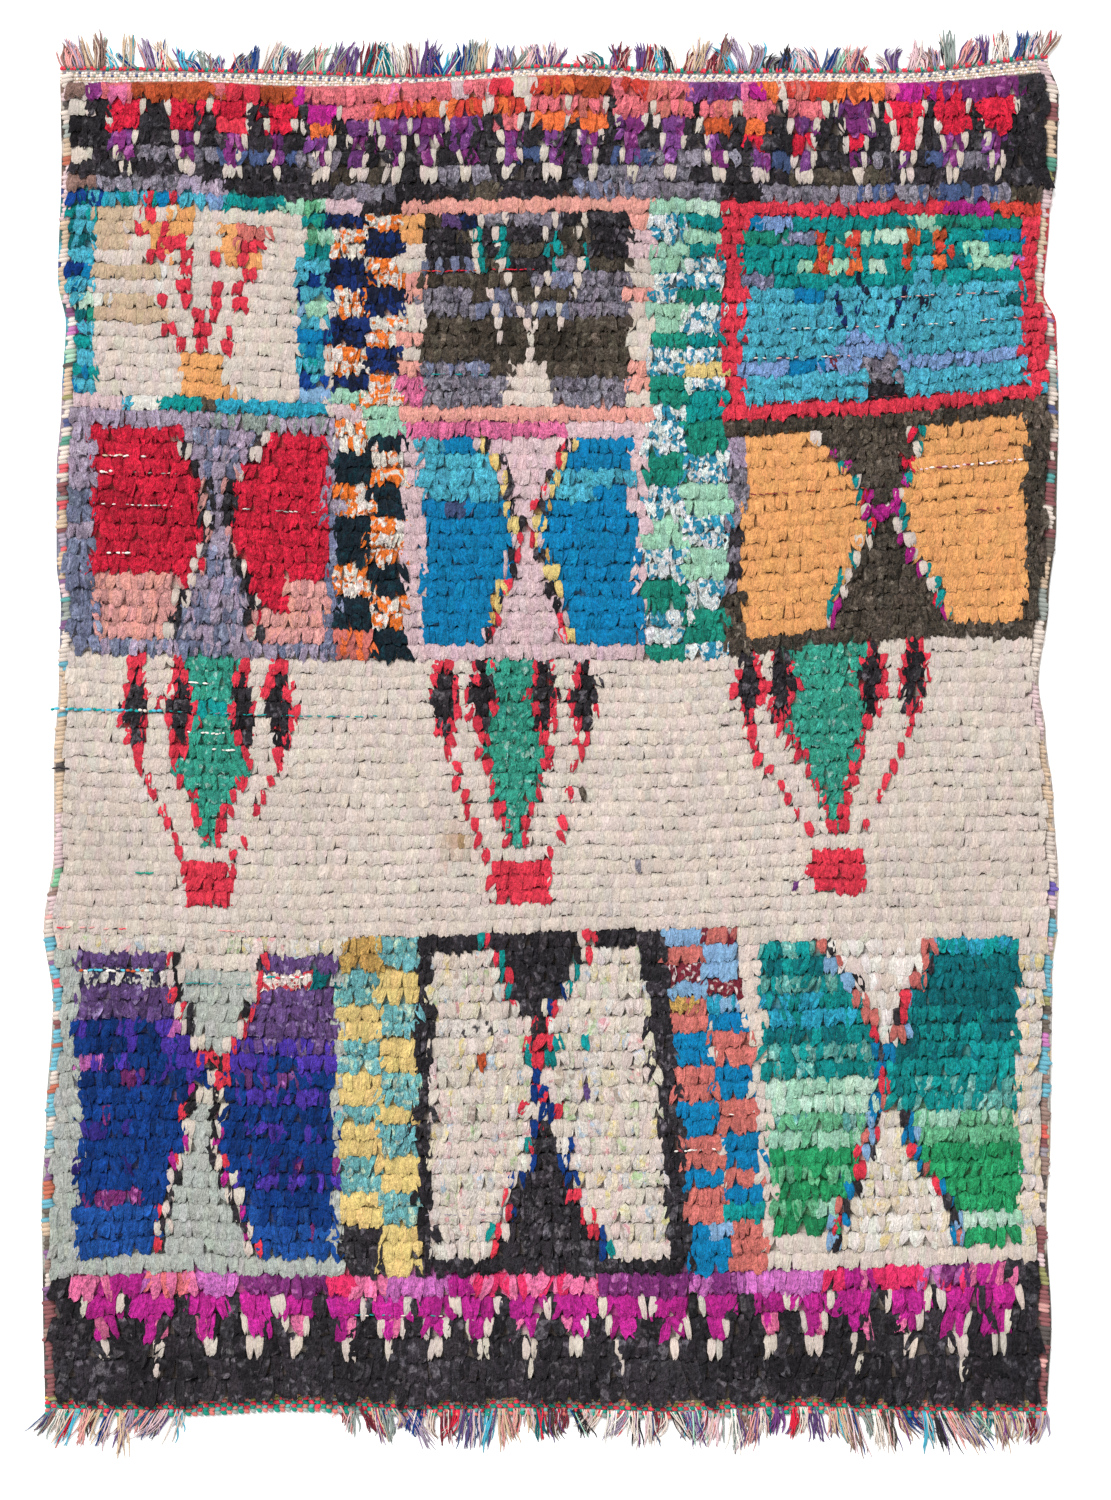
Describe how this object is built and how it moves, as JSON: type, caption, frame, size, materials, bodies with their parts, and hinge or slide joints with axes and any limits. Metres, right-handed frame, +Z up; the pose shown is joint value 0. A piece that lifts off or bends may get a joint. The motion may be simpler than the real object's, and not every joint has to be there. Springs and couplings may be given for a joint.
{
  "type": "boucherouite rug",
  "caption": "Hand-knotted rag rug lying flat, with rows of shaggy pile in a panelled geometric pattern, flat selvedges and yarn fringes at both ends.",
  "frame": {"origin": "centre of the bounding box on the floor, under the rug", "axes": "+X across the rug to the right as seen from above, +Y along its length towards the end with the stepped teeth in red and pink, +Z up through the pile"},
  "size_m": [1.4282, 1.9924, 0.0201],
  "materials": {
    "rag_pile": "knotted strips of rag in many plain and printed colours, matt",
    "fringe_yarn": "thin twisted yarns in mixed colours, matt"
  },
  "bodies": {
    "root": {"rug_cloth": "rag_pile", "head_fringe": "fringe_yarn", "foot_fringe": "fringe_yarn"}
  },
  "joints": []
}
